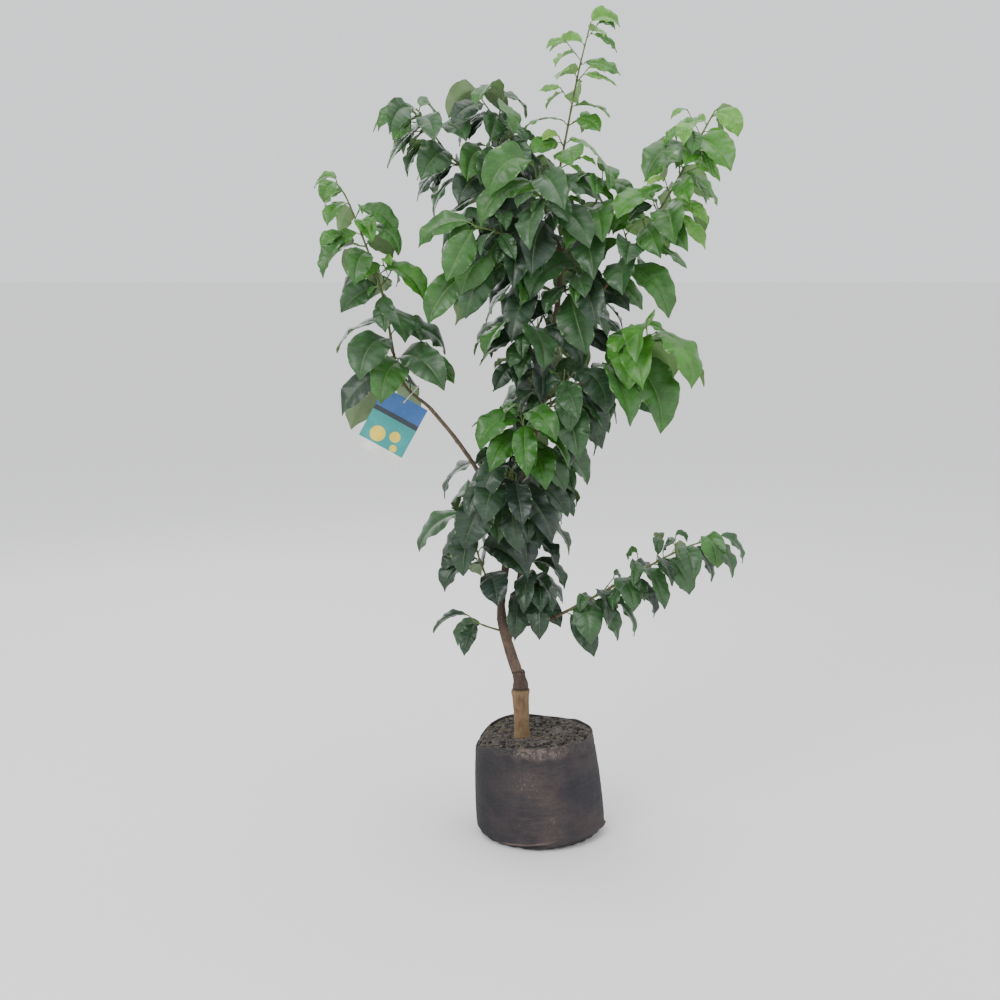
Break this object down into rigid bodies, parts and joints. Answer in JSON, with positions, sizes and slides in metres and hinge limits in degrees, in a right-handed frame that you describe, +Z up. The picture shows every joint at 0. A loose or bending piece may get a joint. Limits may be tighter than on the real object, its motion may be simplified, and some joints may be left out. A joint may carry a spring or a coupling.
{
  "type": "grafted citrus sapling in a fabric root bag",
  "caption": "Young grafted citrus tree with drooping glossy leaves, standing in a round fabric bag of soil, with a care card on a wire tie.",
  "frame": {"origin": "centre of the bag's flat underside, on the floor", "axes": "+Z up; +X to the right and +Y to the back, seen from the front"},
  "size_m": [0.6944, 0.3693, 1.3435],
  "materials": {
    "bag": "matte",
    "soil": "matte",
    "bark": "matte",
    "leaves_young": "satin",
    "leaves_fresh": "satin",
    "leaves_mature": "satin",
    "tag": "satin",
    "tie": "satin"
  },
  "bodies": {
    "root": {"bough_leader_right": "bark", "bough_left": "bark", "bough_mid_right": "bark", "bough_right_lower": "bark", "bough_right_upper": "bark", "bough_upper_left": "bark", "foliage_centre_back": "leaves_mature", "foliage_centre_front": "leaves_mature", "foliage_centre_left": "leaves_mature", "foliage_centre_right": "leaves_mature", "foliage_crown_back": "leaves_mature", "foliage_crown_front": "leaves_mature", "foliage_crown_left": "leaves_mature", "foliage_crown_right": "leaves_mature", "foliage_inner_back": "leaves_mature", "foliage_inner_left": "leaves_mature", "foliage_inner_right": "leaves_mature", "foliage_leader_right": "leaves_mature", "foliage_left": "leaves_fresh", "foliage_low_back": "leaves_mature", "foliage_low_front": "leaves_mature", "foliage_low_left": "leaves_mature", "foliage_low_right": "leaves_mature", "foliage_low_twig": "leaves_mature", "foliage_mid_right": "leaves_fresh", "foliage_right_lower": "leaves_fresh", "foliage_right_upper": "leaves_fresh", "foliage_shoulder_left": "leaves_mature", "foliage_shoulder_right": "leaves_mature", "foliage_small_shoot": "leaves_young", "foliage_top": "leaves_young", "foliage_upper_left": "leaves_mature", "foliage_upper_mid": "leaves_mature", "foliage_young_front": "leaves_young", "root_ball_bag": "bag", "root_ball_soil": "soil", "tag_card": "tag", "tag_tie": "tie", "trunk": "bark"}
  },
  "joints": []
}
